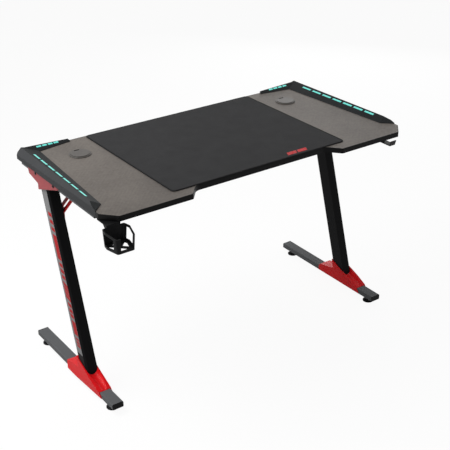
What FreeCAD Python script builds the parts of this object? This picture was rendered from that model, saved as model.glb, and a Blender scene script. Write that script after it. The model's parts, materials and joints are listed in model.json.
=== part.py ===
import FreeCAD, Part
import math
import os

# Gaming desk with slanted legs, lit edge trims, cable grommets, a cup holder and a headphone hook.
# Millimetres. +X is the sitter's right, +Y is away from the sitter, +Z is up.
# The origin is on the floor under the middle of the board.

# Board
top_width = 1200.0
top_depth = 600.0
top_height = 734.0
board_thick = 18.0
band_thick = 2.0
recess_depth = 43.5
recess_half = 262.0
wing_inner = 300.0
corner_cut_x = 43.0
corner_cut_y = 47.0
recess_radius = 30.0
wing_radius = 8.0
corner_radius = 6.0

# Desk mat
mat_side_margin = 254.0
mat_front_margin = 0.5
mat_thick = 3.0
mat_corner = 14.0
mat_rear_margin = 4.0

# Lit trims over both sides and the rear corners
trim_rise = 16.0
trim_lip = 2.4
trim_skirt = 8.0
trim_fit = 0.2
trim_wall = 2.0
trim_front_inner_x = 38.0
trim_front_inner_y = 98.5
trim_front_outer_y = 64.0
trim_corner_x = 70.0
trim_corner_y = 34.0
trim_arm_end_x = 193.0
trim_arm_end_y = 14.0
trim_arm_slant = 5.0
trim_ridge_front = 7.0
trim_ridge_rear = 20.0
trim_ridge_back = 4.0
trim_bevel_front = 7.0
trim_bevel_rear = 20.0
trim_arm_drop = 8.0
trim_arm_bevel = 3.0
trim_corner_cut = 6.0
trim_nose = 30.0
trim_nose_edge = 3.0
trim_overrun = 12.0
trim_screw_corner_x = 10.0
trim_screw_corner_y = 12.0
trim_screw_arm = 23.0
trim_screw_edge = 4.2
trim_screw_front_x = 8.0
trim_screw_front_y = 9.0

# Light windows, diffusers and light tapes inside the trims
light_line = 0.70
light_half_band = 0.24
window_width = 7.0
window_fit = 0.15
window_proud = 0.25
side_window_length = 44.0
side_window_pitch = 55.5
side_window_first_y = 152.0
side_window_end_gap = 20.0
side_channel_margin = 14.0
rear_window_length = 17.0
rear_window_pitch = 21.5
rear_window_first_x = 69.0
rear_window_end_gap = 30.0
rear_channel_margin = 5.0
diffuser_thick = 1.6
diffuser_fit = 0.1
tape_width = 5.0
tape_thick = 0.8
tape_end_gap = 1.0

# Cable grommets
grommet_share = 0.42
grommet_beam_gap = 16.19
grommet_hole_radius = 30.0
grommet_fit = 0.2
grommet_wall = 2.5
grommet_flange_radius = 37.0
grommet_flange_thick = 3.0
grommet_seat_depth = 2.2
grommet_cap_radius = 32.0
grommet_cap_thick = 4.0
grommet_cap_fit = 0.3
grommet_spigot_wall = 2.0
grommet_spigot_depth = 9.0
grommet_slot_width = 20.0
grommet_slot_depth = 11.0
grommet_below = 4.0
grommet_bevel = 1.1
grommet_cap_round = 1.2

# Steel frame
frame_inset = 31.0
tube_width = 40.0
tube_wall = 2.0
tube_radius = 3.0
cap_plate = 3.0
cap_plug = 14.0
cap_fit = 0.2
foot_height = 20.0
foot_clear = 18.0
foot_front = 56.0
foot_rear = 4.0
rail_height = 20.0
rail_front = 95.0
rail_rear = 15.0
leg_depth = 50.0
leg_lean = 17.0
leg_foot_y = -61.0
leg_chamfer = 6.0
leg_plate = 3.0
leg_plate_overhang = 30.0
beam_depth = 40.0
beam_height = 20.0
beam_front_gap = 85.0
beam_flange = 3.0
beam_flange_overhang = 14.0

# Red braces between the legs and the rear beam
brace_width = 40.0
brace_thick = 4.0
brace_tab_height = 22.0
brace_rise = 108.0
brace_tab_length = 32.0
brace_slot_width = 13.0
brace_slot_long = 56.0
brace_slot_short = 26.0
brace_slot_bridge = 15.0
brace_slot_start = 14.0

# Red covers on the legs
gusset_thick = 4.5
gusset_seat = 0.3
gusset_bevel = 1.6
gusset_top_gap = 2.0
gusset_rear = 92.0
gusset_rear_low = 84.0
gusset_rear_drop = 8.0
gusset_tip = 22.0
gusset_tip_high = 22.0
gusset_tip_low = 43.0
gusset_front = 132.0
gusset_front_low = 118.0
gusset_front_rise = 5.0
gusset_screw_rear = 32.0
gusset_screw_front = 92.0
shroud_wall = 3.2
shroud_flare = 7.5
shroud_fit = 0.3
shroud_leg_fit = 0.8
shroud_skirt = 16.0
shroud_front = 96.0
shroud_toe = 16.0
shroud_rear = 124.0
shroud_peak_y = 50.0
shroud_peak_z = 64.0
shroud_notch_y = 40.0
shroud_notch_z = 28.0
shroud_tail_z = 13.0
shroud_tail_drop = 9.0
shroud_shoulder = 0.5
shroud_shoulder_rise = 12.0
shroud_draft = 0.4
shroud_deck_front = 3.0
shroud_deck_rise = 12.0
shroud_cove_dip = 0.8
shroud_cove_overrun = 12.0

# Levelling feet
pad_radius = 20.0
pad_height = 7.0
pad_edge = 2.8
pad_top_radius = 11.0
collar_flats = 13.0
collar_top_gap = 0.3
stud_radius = 4.0
stud_fit = 0.08
stud_top_gap = 3.0
leveller_inset = 40.0
insert_flange = 1.5
insert_flange_radius = 10.0
insert_radius = 6.0
insert_depth = 11.0
insert_fit = 0.05

# Cup holder under the front left corner
cup_overhang = 20.0
cup_back_gap = 2.5
cup_depth = 72.0
cup_rear_half = 37.0
cup_mid_half = 42.0
cup_front_half = 32.0
cup_mid_back = 25.0
cup_taper = 4.0
cup_front_drop = 8.0
cup_wall = 3.0
cup_corner = 7.0
cup_rim_drop = 8.0
cup_rim_height = 7.0
cup_height = 55.0
cup_base_thick = 4.0
cup_base_ring = 9.0
cup_spoke = 9.0
cup_lip = 9.0
cup_front_flange = 15.0
cup_side_flange = 8.0
cup_tab_width = 46.0
cup_tab_length = 58.0
cup_rib_length = 17.4
cup_rib_drop = 14.0
cup_screw_pitch = 18.0
cup_screw_margin = 13.0

# Headphone hook under the front right corner
hook_side = 35.0
hook_rail_gap = 9.0
hook_width = 25.0
hook_thick = 3.0
hook_drop = 46.0
hook_tab = 44.0
hook_arm = 54.0
hook_tip_rise = 18.0
hook_tip_lean = 5.0
hook_screw_pitch = 12.0

# Light control box under the rear of the board
box_side = 375.0
box_rear = 56.0
box_length = 70.0
box_width = 46.0
box_height = 20.0
box_wall = 2.0
box_cover = 2.0
box_ear = 10.0
board_plate = 1.6
board_plate_drop = 8.0
board_edge_fit = 0.4
post_radius = 2.5
post_inset = 8.0
button_radius = 6.0
button_fit = 0.1
button_proud = 2.2
button_travel = 1.5
button_rim = 1.5
button_rim_thick = 1.2
button_stop_gap = 0.2
button_round = 0.8
button_stem = 1.8
switch_size = 6.0
switch_height = 3.0
socket_radius = 5.0
socket_length = 11.0
socket_bore = 2.8
socket_flange = 1.2
socket_rim = 1.5
socket_pin = 1.0

# Light leads and their clips
lead_radius = 2.0
lead_roof_gap = 0.3
lead_bend = 8.0
lead_end_gap = 0.3
lead_hole_fit = 2.0
lead_run_offset = 8.0
lead_inside = 6.0
lead_rise_side = 112.0
lead_rise_rear = 16.0
clip_width = 8.0
clip_wall = 1.5
clip_fit = 0.2
clip_foot = 7.0
clip_inset = 70.0
clip_pitch = 190.0

# Fasteners
screw_radius = 2.4
screw_head_radius = 4.5
screw_head = 2.6
screw_grip = 11.0
bolt_radius = 3.0
bolt_head_radius = 5.5
bolt_head = 3.3
bolt_reach = 12.0
hole_fit = 0.1
head_round = 0.45
head_socket = 0.55
head_key = 0.9
rail_screw_end = 30.0
rail_screw_gap = 54.0
rail_screw_beam_gap = 40.0
beam_screw_share = 0.6

# Heights and lines that follow from the sizes above
board_top = top_height
board_low = board_top - board_thick
rail_low = board_low - rail_height
foot_low = foot_clear
foot_high = foot_low + foot_height
half_width = top_width / 2
half_depth = top_depth / 2
frame_x = half_width - frame_inset
frame_inner = frame_x - tube_width / 2
frame_outer = frame_x + tube_width / 2
foot_y0 = -half_depth + foot_front
foot_y1 = half_depth - foot_rear
rail_y0 = -half_depth + rail_front
rail_y1 = half_depth - rail_rear
lean = math.tan(math.radians(leg_lean))
leg_span = leg_depth / math.cos(math.radians(leg_lean))
trim_top = board_top + trim_rise
light_low = light_line - light_half_band
light_high = light_line + light_half_band
hole_radius = screw_radius + hole_fit
hook_x = half_width - hook_side
hook_stem_y = rail_y0 - hook_rail_gap
mat_half = half_width - mat_side_margin
lead_rise_x = half_width - lead_rise_side
lead_rise_y = half_depth - lead_rise_rear
box_x = -half_width + box_side
box_y = half_depth - box_rear
lead_run_y = box_y + lead_run_offset
bolt_hole = bolt_radius + hole_fit
lead_hole = lead_radius + lead_hole_fit

Z_AXIS = FreeCAD.Vector(0, 0, 1)
ORIGIN = FreeCAD.Vector(0, 0, 0)
parts = {}


def vec(x, y, z):
    return FreeCAD.Vector(x, y, z)


def leg_y(z):
    # Middle of the leg, front to back, at height z
    return leg_foot_y + (z - foot_high) * lean


def box(x0, x1, y0, y1, z0, z1):
    return Part.makeBox(x1 - x0, y1 - y0, z1 - z0, vec(x0, y0, z0))


def rod(start, end, radius):
    axis = end.sub(start)
    return Part.makeCylinder(radius, axis.Length, start, axis)


def post(x, y, z0, z1, radius):
    # Upright rod
    return rod(vec(x, y, z0), vec(x, y, z1), radius)


def spindle(x0, x1, y, z, radius):
    # Rod along X
    return rod(vec(x0, y, z), vec(x1, y, z), radius)


def hexagon_rod(x, y, z, height, flats, axis):
    # Hexagonal bar of a width across flats, from a point along an axis
    radius = flats / math.sqrt(3.0)
    turns = [math.radians(60 * i + 30) for i in range(7)]
    ring = [vec(radius * math.cos(a), radius * math.sin(a), 0) for a in turns]
    bar = Part.Face(Part.makePolygon(ring)).extrude(vec(0, 0, height))
    bar.Placement = FreeCAD.Placement(vec(x, y, z), FreeCAD.Rotation(Z_AXIS, axis))
    return bar


def polygon_face(points):
    return Part.Face(Part.makePolygon(points + points[:1]))


def prism(points, z0, z1):
    # Upright prism over a plan polygon
    return polygon_face([vec(x, y, z0) for x, y in points]).extrude(vec(0, 0, z1 - z0))


def side_prism(points, x0, x1):
    # Prism along X over a polygon in Y and Z
    return polygon_face([vec(x0, y, z) for y, z in points]).extrude(vec(x1 - x0, 0, 0))


def front_prism(points, y0, y1):
    # Prism along Y over a polygon in X and Z
    return polygon_face([vec(x, y0, z) for x, z in points]).extrude(vec(0, y1 - y0, 0))


def loft(first, second):
    wires = [Part.makePolygon(points + points[:1]) for points in (first, second)]
    return Part.makeLoft(wires, True, True)


def fuse(shapes):
    whole = shapes[0]
    if len(shapes) > 1:
        whole = whole.fuse(shapes[1:])
    return whole.removeSplitter()


def mirrored(shape):
    return shape.mirror(ORIGIN, vec(1, 0, 0))


def rounded_plate(points, z0, z1):
    # Plate over a plan outline whose points are (x, y, corner radius)
    count = len(points)
    starts, ends, edges = [], [], []
    for i in range(count):
        x, y, radius = points[i]
        here = vec(x, y, z0)
        before = vec(points[i - 1][0], points[i - 1][1], z0).sub(here).normalize()
        after = vec(points[(i + 1) % count][0], points[(i + 1) % count][1], z0).sub(here).normalize()
        half = before.getAngle(after) / 2
        reach = radius / math.tan(half)
        starts.append(here + before * reach)
        ends.append(here + after * reach)
        if radius > 0:
            middle = (before + after).normalize()
            crown = here + middle * (radius / math.sin(half) - radius)
            edges.append(Part.Arc(starts[i], crown, ends[i]).toShape())
        else:
            edges.append(None)
    chain = []
    for i in range(count):
        if edges[i]:
            chain.append(edges[i])
        chain.append(Part.LineSegment(ends[i], starts[(i + 1) % count]).toShape())
    return Part.Face(Part.Wire(chain)).extrude(vec(0, 0, z1 - z0))


def inset_outline(points, gaps):
    # Counter-clockwise outline with each edge moved inwards by its own gap
    count = len(points)
    lines = []
    for i in range(count):
        a = points[i]
        b = points[(i + 1) % count]
        length = math.hypot(b[0] - a[0], b[1] - a[1])
        dx = (b[0] - a[0]) / length
        dy = (b[1] - a[1]) / length
        lines.append((a[0] - dy * gaps[i], a[1] + dx * gaps[i], dx, dy))
    result = []
    for i in range(count):
        px, py, ux, uy = lines[i - 1]
        qx, qy, vx, vy = lines[i]
        cross = ux * vy - uy * vx
        t = ((qx - px) * vy - (qy - py) * vx) / cross
        radius = points[i][2]
        if radius > 0:
            radius -= math.copysign(min(gaps[i - 1], gaps[i]), cross)
        result.append((px + ux * t, py + uy * t, radius))
    return result


def strap(points, thick):
    # Outline of a bent strip: the points are one face, the other lies to their left
    count = len(points)
    far = []
    for i in range(count):
        sides = []
        for j in (i - 1, i):
            if 0 <= j < count - 1:
                du = points[j + 1][0] - points[j][0]
                dv = points[j + 1][1] - points[j][1]
                length = math.hypot(du, dv)
                sides.append((-dv / length, du / length))
        nu = sum(s[0] for s in sides)
        nv = sum(s[1] for s in sides)
        scale = thick * len(sides) / (nu * nu + nv * nv)
        far.append((points[i][0] + nu * scale, points[i][1] + nv * scale))
    return points + far[::-1]


def strip_along(start, end, half, z0, z1):
    # Flat bar in plan from one point to another
    length = math.hypot(end[0] - start[0], end[1] - start[1])
    nx = -(end[1] - start[1]) / length * half
    ny = (end[0] - start[0]) / length * half
    ring = [(start[0] + nx, start[1] + ny), (start[0] - nx, start[1] - ny)]
    ring += [(end[0] - nx, end[1] - ny), (end[0] + nx, end[1] + ny)]
    return prism(ring, z0, z1)


def end_circle(shape, centre):
    # The round edges of a rod whose middle is a given point
    return [e for e in shape.Edges if len(e.Vertexes) == 1 and (e.CenterOfMass - centre).Length < 0.01]


def headed(start, end, radius, head_radius, head):
    # Screw or bolt whose head sits on the start point and whose shank ends at the end point
    axis = end.sub(start).normalize()
    shank = rod(start, end, radius)
    face = start - axis * head
    cap = Part.makeCylinder(head_radius, head, face, axis)
    cap = cap.makeFillet(head * head_round, end_circle(cap, face))
    socket = hexagon_rod(face.x, face.y, face.z, head * head_socket, head_radius * head_key, axis)
    return fuse([shank, cap.cut(socket)])


# Plan of the board and of the trims on the right-hand side

trim_inner_front = (half_width - trim_front_inner_x, -half_depth + trim_front_inner_y)
trim_outer_front = (half_width, -half_depth + trim_front_outer_y)
trim_inner_corner = (half_width - trim_corner_x, half_depth - trim_corner_y)
trim_arm_inner = (half_width - trim_arm_end_x, half_depth - trim_arm_end_y)
trim_arm_outer = (trim_arm_inner[0] + trim_arm_slant, half_depth)
notch_x = half_width - trim_skirt
notch_y = half_depth - trim_skirt


def on_line(a, b, x):
    return a[1] + (b[1] - a[1]) * (x - a[0]) / (b[0] - a[0])


def trim_inner_x(y):
    # Inner edge of the side arm where it crosses y
    share = (y - trim_inner_front[1]) / (trim_inner_corner[1] - trim_inner_front[1])
    return trim_inner_front[0] + (trim_inner_corner[0] - trim_inner_front[0]) * share


# Joints of the leg, the brace and the rear beam

leg_top_y = leg_y(rail_low)
leg_plate_reach = leg_span / 2 + leg_plate_overhang
brace_foot_z = rail_low - brace_rise - brace_tab_height
brace_bolt_z = brace_foot_z + brace_tab_height / 2
brace_y = leg_y(brace_bolt_z)

# The grommets stand behind the rear beam, between the mat and the trims

grommet_y = brace_y + beam_depth / 2 + grommet_hole_radius + grommet_beam_gap
grommet_room = trim_inner_x(grommet_y) - mat_half - grommet_flange_radius * 2
grommet_x = mat_half + grommet_room * grommet_share + grommet_flange_radius


def board_outline():
    # Right half from the front middle to the rear middle, then its mirror image
    # Each entry is x, y, corner radius and whether the edge that follows is banded
    right = [
        (recess_half, -half_depth + recess_depth, recess_radius, True),
        (wing_inner, -half_depth, wing_radius, True),
        (half_width - corner_cut_x, -half_depth, corner_radius, True),
        (half_width, -half_depth + corner_cut_y, corner_radius, True),
        (trim_outer_front[0], trim_outer_front[1], 0, False),
        (notch_x, on_line(trim_inner_front, trim_outer_front, notch_x), 0, False),
        (notch_x, notch_y, 0, False),
        (trim_arm_outer[0] - trim_fit, notch_y, 0, False),
        (trim_arm_outer[0] - trim_fit, half_depth, 0, True),
    ]
    outline = [(x, y, r) for x, y, r, banded in right]
    bands = [banded for x, y, r, banded in right]
    left = [(-x, y, r) for x, y, r in outline[::-1]]
    left_bands = bands[-2::-1] + [True]
    return outline + left, [band_thick if b else 0.0 for b in bands + left_bands]


def side_station(y):
    # Inner lip, ridge, and bevelled outside of the side arm where it crosses y
    share = (y - trim_outer_front[1]) / (half_depth - trim_outer_front[1])
    ridge_x = half_width - trim_ridge_front - (trim_ridge_rear - trim_ridge_front) * share
    bevel = trim_bevel_front + (trim_bevel_rear - trim_bevel_front) * share
    inner = vec(trim_inner_x(y), y, board_top + trim_lip)
    return inner, vec(ridge_x, y, trim_top), vec(half_width, y, trim_top - bevel)


def rear_station(x):
    # The same three points of the rear arm where it crosses x
    inner_y = on_line(trim_inner_corner, trim_arm_inner, x)
    share = (half_width - x) / trim_arm_end_x
    top = trim_top - trim_arm_drop * share
    inner = vec(x, inner_y, board_top + trim_lip)
    return inner, vec(x, half_depth - trim_ridge_back, top), vec(x, half_depth, top - trim_arm_bevel)


def arm_body(first, second):
    rings = []
    for inner, ridge, shoulder in (first, second):
        inside = vec(inner.x, inner.y, board_low)
        outside = vec(shoulder.x, shoulder.y, board_low)
        rings.append([inside, inner, ridge, shoulder, outside])
    return loft(rings[0], rings[1])


def roof_band(first, second, low, high, under, over):
    # Slab that follows the sloping roof of an arm between two shares of its width
    rings = []
    for inner, ridge, shoulder in (first, second):
        a = inner + (ridge - inner) * low
        b = inner + (ridge - inner) * high
        rings.append([a + vec(0, 0, under), b + vec(0, 0, under), b + vec(0, 0, over), a + vec(0, 0, over)])
    return loft(rings[0], rings[1])


def channel(first, second):
    # Room under the roof for the light tape and its diffuser
    rings = []
    for inner, ridge, shoulder in (first, second):
        a = inner + (ridge - inner) * light_low
        b = inner + (ridge - inner) * light_high
        floor_a = vec(a.x, a.y, board_top)
        floor_b = vec(b.x, b.y, board_top)
        rings.append([floor_a, floor_b, b - vec(0, 0, trim_wall), a - vec(0, 0, trim_wall)])
    return loft(rings[0], rings[1])


def light_point(station):
    inner, ridge, shoulder = station
    return inner + (ridge - inner) * light_line


def side_point(y):
    # Point of the side arm's light line at depth y
    point = light_point(side_station(y))
    return point.x, point.y


def rear_point(x):
    point = light_point(rear_station(x))
    return point.x, point.y


def window_count(room, pitch, length):
    # How many windows fit into a length
    return int((room + pitch - length) / pitch)


side_window_start = -half_depth + side_window_first_y
side_room = trim_inner_corner[1] - side_window_end_gap - side_window_start
side_window_count = window_count(side_room, side_window_pitch, side_window_length)
side_lights = []
for i in range(side_window_count):
    window_y = side_window_start + i * side_window_pitch
    side_lights.append((side_point(window_y), side_point(window_y + side_window_length)))
rear_window_start = half_width - rear_window_first_x
rear_room = rear_window_start - trim_arm_inner[0] - rear_window_end_gap
rear_window_count = window_count(rear_room, rear_window_pitch, rear_window_length)
rear_lights = []
for i in range(rear_window_count):
    window_x = rear_window_start - i * rear_window_pitch
    rear_lights.append((rear_point(window_x), rear_point(window_x - rear_window_length)))
side_ends = (side_lights[0][0][1] - side_channel_margin, side_lights[-1][1][1] + side_channel_margin)
rear_ends = (rear_lights[-1][1][0] - rear_channel_margin, rear_lights[0][0][0] + rear_channel_margin)

# Screw places on the right-hand side, mirrored for the left

trim_screw_places = [
    (trim_inner_corner[0] + trim_screw_corner_x, trim_inner_corner[1] + trim_screw_corner_y),
    (trim_arm_inner[0] + trim_screw_arm, notch_y - trim_screw_edge),
    (notch_x - trim_screw_front_x, trim_inner_front[1] - trim_screw_front_y),
]
beam_front_y = rail_y0 + beam_front_gap
rail_screw_ys = [rail_y0 + rail_screw_end, beam_front_y + beam_depth / 2 + rail_screw_beam_gap]
rail_screw_ys += [leg_top_y - leg_plate_reach - rail_screw_gap, rail_y1 - rail_screw_end]
beam_screw_xs = [-frame_inner * beam_screw_share, 0.0, frame_inner * beam_screw_share]
beam_ys = {"front": beam_front_y, "rear": brace_y}


def both_sides(points):
    return [(s * x, y) for x, y in points for s in (1, -1)]


def panel_screw_places():
    rails = both_sides([(frame_x, y) for y in rail_screw_ys])
    beams = [(x, y) for y in beam_ys.values() for x in beam_screw_xs]
    return rails + beams


# Board with its edge bands

def make_board():
    outline, gaps = board_outline()
    full = rounded_plate(outline, board_low, board_top)
    core = rounded_plate(inset_outline(outline, gaps), board_low, board_top)
    bands = full.cut(core).Solids
    for s in (1, -1):
        core = core.cut(post(s * grommet_x, grommet_y, board_low, board_top, grommet_hole_radius))
        core = core.cut(post(s * lead_rise_x, lead_rise_y, board_low, board_top, lead_hole))
    for x, y in panel_screw_places():
        core = core.cut(post(x, y, board_low, board_low + screw_grip + hole_fit, hole_radius))
    for x, y in both_sides(trim_screw_places):
        core = core.cut(post(x, y, board_low, board_top, hole_radius))
    for start, end in under_screws:
        core = core.cut(rod(vec(start.x, start.y, board_low), end + vec(0, 0, hole_fit), hole_radius))
    parts["tabletop_panel"] = core
    parts["edge_band_front"] = min(bands, key=lambda s: s.CenterOfMass.y)
    parts["edge_band_rear"] = max(bands, key=lambda s: s.CenterOfMass.y)


def make_mat():
    y1 = half_depth - mat_rear_margin
    y0 = -half_depth + recess_depth + mat_front_margin
    ring = [(a * mat_half, y, mat_corner) for a, y in ((-1, y0), (1, y0), (1, y1), (-1, y1))]
    parts["desk_mat"] = rounded_plate(ring, board_top, board_top + mat_thick)


# Lit trims with diffusers and light tapes

def make_trims():
    front = side_station(trim_outer_front[1] - trim_overrun)
    back = side_station(half_depth)
    end = rear_station(trim_arm_inner[0] - trim_overrun)
    corner = rear_station(back[1].x)
    cut = trim_corner_cut
    far_x = half_width + trim_overrun
    far_y = half_depth + trim_overrun
    inner_x = back[0].x - trim_overrun
    inner_y = corner[0].y - trim_overrun
    sky = trim_top + trim_rise
    past = [(far_x, half_depth - cut - trim_overrun), (half_width - cut - trim_overrun, far_y)]
    side_plan = [(x, on_line(trim_inner_front, trim_outer_front, x)) for x in (inner_x, far_x)]
    side_plan += past + [(inner_x, far_y)]
    arm_slope = (trim_arm_outer[0] - trim_arm_inner[0]) / (trim_arm_outer[1] - trim_arm_inner[1])
    rear_plan = [(trim_arm_outer[0] + (y - half_depth) * arm_slope, y) for y in (far_y, inner_y)]
    rear_plan += [(far_x, inner_y)] + past
    side_arm = arm_body(front, back).common(prism(side_plan, board_low, sky))
    rear_arm = arm_body(end, corner).common(prism(rear_plan, board_low, sky))
    # What is left below the board's top is a skirt that hangs in the board's notch
    seat_x = notch_x + trim_fit
    seat_y = notch_y + trim_fit
    arm_end = trim_arm_outer[0]
    seat = [(end[0].x, front[0].y), (seat_x, front[0].y), (seat_x, seat_y), (arm_end, seat_y)]
    seat += [(arm_end, far_y), (end[0].x, far_y)]
    body = fuse([side_arm, rear_arm]).cut(prism(seat, board_low, board_top))
    # Nose: the front end falls from the ridge to a thin edge
    inner_front = vec(trim_inner_front[0], trim_inner_front[1], board_top + trim_nose_edge)
    outer_front = vec(trim_outer_front[0], trim_outer_front[1], board_top + trim_nose_edge)
    along = (outer_front - inner_front).normalize()
    behind = vec(-along.y, along.x, 0) * trim_nose
    edge = inner_front - along * trim_overrun
    crest = edge + behind + vec(0, 0, trim_rise - trim_nose_edge)
    ahead = edge - behind
    ring = [ahead, edge, crest, vec(crest.x, crest.y, sky), vec(ahead.x, ahead.y, sky)]
    reach = (outer_front - inner_front).Length + trim_overrun * 2
    body = body.cut(polygon_face(ring).extrude(along * reach))
    side_run = (side_station(side_ends[0]), side_station(side_ends[1]))
    rear_run = (rear_station(rear_ends[0]), rear_station(rear_ends[1]))
    body = body.cut(channel(*side_run)).cut(channel(*rear_run))
    for lights in (side_lights, rear_lights):
        for a, b in lights:
            body = body.cut(strip_along(a, b, window_width / 2, board_top + tape_thick, sky))
    body = body.cut(post(lead_rise_x, lead_rise_y, board_top, board_top + trim_lip, lead_hole))
    for x, y in trim_screw_places:
        body = body.cut(post(x, y, board_top, board_top + trim_lip + hole_fit, hole_radius))
    runs = {"side": (side_run, side_lights), "rear": (rear_run, rear_lights)}
    parts["led_trim_right"] = body
    parts["led_trim_left"] = mirrored(body)
    for name, (run, lights) in runs.items():
        under = -trim_wall - diffuser_fit
        fit = diffuser_fit / (trim_rise - trim_lip)
        plate = roof_band(run[0], run[1], light_low + fit, light_high - fit, under - diffuser_thick, under)
        bars = []
        raised = roof_band(run[0], run[1], light_low, light_high, under - diffuser_thick / 2, window_proud)
        for a, b in lights:
            a_in, b_in = shortened(a, b, window_fit)
            bars.append(raised.common(strip_along(a_in, b_in, window_width / 2 - window_fit, board_top, sky)))
        guide = fuse([plate] + bars)
        a, b = shortened(light_point(run[0])[:2], light_point(run[1])[:2], tape_end_gap)
        tape = strip_along(a, b, tape_width / 2, board_top, board_top + tape_thick)
        for side, shape in (("right", guide), ("left", mirrored(guide))):
            parts["light_diffuser_%s_%s" % (name, side)] = shape
        for side, shape in (("right", tape), ("left", mirrored(tape))):
            parts["light_tape_%s_%s" % (name, side)] = shape


def shortened(a, b, gap):
    length = math.hypot(b[0] - a[0], b[1] - a[1])
    ux = (b[0] - a[0]) / length * gap
    uy = (b[1] - a[1]) / length * gap
    return (a[0] + ux, a[1] + uy), (b[0] - ux, b[1] - uy)


# Cable grommets: a flanged ring in the board and a turning cap with a cable slot

def make_grommets():
    sleeve = grommet_hole_radius - grommet_fit
    bore = sleeve - grommet_wall
    seat = board_top + grommet_flange_thick - grommet_seat_depth
    top = board_top + grommet_flange_thick
    floor = board_low - grommet_below
    for side, s in (("right", 1), ("left", -1)):
        x = s * grommet_x
        y = grommet_y
        ring = post(x, y, floor, board_top, sleeve)
        flange = post(x, y, board_top, top, grommet_flange_radius)
        ring = fuse([ring, flange.makeChamfer(grommet_bevel, end_circle(flange, vec(x, y, top)))])
        ring = ring.cut(post(x, y, floor, top, bore))
        ring = ring.cut(post(x, y, seat, top, grommet_cap_radius + grommet_cap_fit))
        parts["grommet_ring_%s" % side] = ring
        low = seat + grommet_cap_fit
        crown = vec(x, y, low + grommet_cap_thick)
        cap = rod(vec(x, y, low), crown, grommet_cap_radius)
        cap = cap.makeFillet(grommet_cap_round, end_circle(cap, crown))
        spigot_radius = bore - grommet_cap_fit
        spigot = post(x, y, low - grommet_spigot_depth, low, spigot_radius)
        spigot = spigot.cut(post(x, y, low - grommet_spigot_depth, low, spigot_radius - grommet_spigot_wall))
        half = grommet_slot_width / 2
        edge = y + grommet_cap_radius
        slot = box(x - half, x + half, edge - grommet_slot_depth, edge, low - grommet_spigot_depth, crown.z)
        parts["grommet_cap_%s" % side] = fuse([cap, spigot]).cut(slot)


# Steel frame: feet, legs, side rails and beams

def tube_along_y(y0, y1, z0, height):
    # Hollow bar with rounded edges, centred on the right-hand frame line
    solid = box(frame_inner, frame_outer, y0, y1, z0, z0 + height)
    edges = [e for e in solid.Edges if abs(e.tangentAt(e.FirstParameter).y) > 0.9]
    wall = tube_wall
    bore = box(frame_inner + wall, frame_outer - wall, y0, y1, z0 + wall, z0 + height - wall)
    return solid.makeFillet(tube_radius, edges).cut(bore)


def tube_caps(y0, y1, z0, height):
    # Plastic plugs that close a bar at both ends, each with a plate as large as the bar
    plugs = []
    gap = tube_wall + cap_fit
    for y, step in ((y0, -1), (y1, 1)):
        out_y = y + step * cap_plate
        in_y = y - step * cap_plug
        plate = box(frame_inner, frame_outer, min(y, out_y), max(y, out_y), z0, z0 + height)
        edges = [e for e in plate.Edges if abs(e.tangentAt(e.FirstParameter).y) > 0.9]
        plug = box(frame_inner + gap, frame_outer - gap, min(y, in_y), max(y, in_y),
                   z0 + gap, z0 + height - gap)
        plugs.append(fuse([plate.makeFillet(tube_radius, edges), plug]))
    return plugs


leveller_ys = [foot_y0 + leveller_inset, foot_y1 - leveller_inset]
leg_bolt_reach = leg_span / 2 + leg_plate_overhang / 2
foot_bolt_ys = [leg_foot_y - leg_bolt_reach, leg_foot_y + leg_bolt_reach]
rail_bolt_ys = [leg_top_y - leg_bolt_reach, leg_top_y + leg_bolt_reach]
brace_far_x = frame_inner - brace_rise - brace_tab_length / 2
gusset_screw_ys = [leg_top_y + gusset_screw_rear, leg_top_y - gusset_screw_front]
gusset_screw_z = rail_low + rail_height / 2
beam_bolt_reach = beam_depth / 2 + beam_flange_overhang / 2


def make_feet():
    bar = tube_along_y(foot_y0 + cap_plate, foot_y1 - cap_plate, foot_low, foot_height)
    for y in leveller_ys:
        bar = bar.cut(post(frame_x, y, foot_low, foot_low + tube_wall, insert_radius + insert_fit))
    for y in foot_bolt_ys:
        bar = bar.cut(post(frame_x, y, foot_high - tube_wall, foot_high, bolt_hole))
    caps = tube_caps(foot_y0 + cap_plate, foot_y1 - cap_plate, foot_low, foot_height)
    parts["foot_bar_right"] = bar
    parts["foot_bar_left"] = mirrored(bar)
    parts["foot_bar_caps"] = Part.makeCompound(caps + [mirrored(c) for c in caps])


def make_rails():
    rail = tube_along_y(rail_y0 + cap_plate, rail_y1 - cap_plate, rail_low, rail_height)
    for y in rail_screw_ys:
        rail = rail.cut(post(frame_x, y, rail_low, board_low, hole_radius))
    for y in rail_bolt_ys:
        rail = rail.cut(post(frame_x, y, rail_low, rail_low + tube_wall, bolt_hole))
    for y in gusset_screw_ys:
        rail = rail.cut(spindle(frame_outer - tube_wall, frame_outer, y, gusset_screw_z, hole_radius))
    for beam_y in beam_ys.values():
        for step in (-1, 1):
            y = beam_y + step * beam_bolt_reach
            z = rail_low + rail_height / 2
            rail = rail.cut(spindle(frame_inner, frame_inner + tube_wall, y, z, bolt_hole))
    caps = tube_caps(rail_y0 + cap_plate, rail_y1 - cap_plate, rail_low, rail_height)
    parts["side_rail_right"] = rail
    parts["side_rail_left"] = mirrored(rail)
    parts["side_rail_caps"] = Part.makeCompound(caps + [mirrored(c) for c in caps])


def leg_section(z, grow):
    # Level cut through the leg: a box with its outside edges bevelled
    x0 = frame_inner - grow
    x1 = frame_outer + grow
    y0 = leg_y(z) - leg_span / 2 - grow
    y1 = leg_y(z) + leg_span / 2 + grow
    c = leg_chamfer
    ring = [(x0, y0), (x1 - c, y0), (x1, y0 + c), (x1, y1 - c), (x1 - c, y1), (x0, y1)]
    return [vec(x, y, z) for x, y in ring]


def leg_prism(z0, z1, grow):
    return polygon_face(leg_section(z0, grow)).extrude(vec(0, (z1 - z0) * lean, z1 - z0))


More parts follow.
